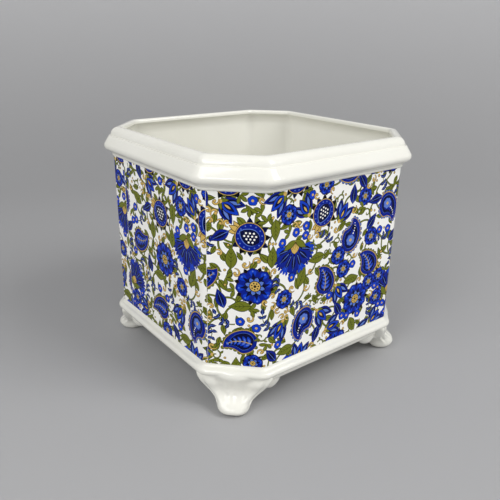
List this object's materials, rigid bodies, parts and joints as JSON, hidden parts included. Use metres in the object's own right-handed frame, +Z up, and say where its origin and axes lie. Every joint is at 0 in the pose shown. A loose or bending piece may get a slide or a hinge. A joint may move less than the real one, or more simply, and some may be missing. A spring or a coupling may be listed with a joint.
{
  "type": "flower pot",
  "caption": "Square porcelain cachepot with cut corners, a moulded rim, printed floral walls and scrolled bracket feet, which holds a potted plant on a table.",
  "frame": {"origin": "on the table top under the middle of the pot", "axes": "+Z up, -Y towards the front wall, +X to the right of it"},
  "size_m": [0.16, 0.16, 0.1468],
  "materials": {
    "glazed_porcelain": "clear glossy glaze over warm white porcelain",
    "printed_transfer": "floral transfer print in cobalt, navy, olive and ochre, fired into the glaze"
  },
  "bodies": {
    "root": {"body_casting": "glazed_porcelain", "base_slab": "glazed_porcelain", "foot_front_left": "glazed_porcelain", "foot_front_right": "glazed_porcelain", "foot_back_right": "glazed_porcelain", "foot_back_left": "glazed_porcelain", "transfer_sheet_first": "printed_transfer", "transfer_sheet_second": "printed_transfer", "transfer_sheet_third": "printed_transfer", "transfer_closing_strip": "printed_transfer"}
  },
  "joints": []
}
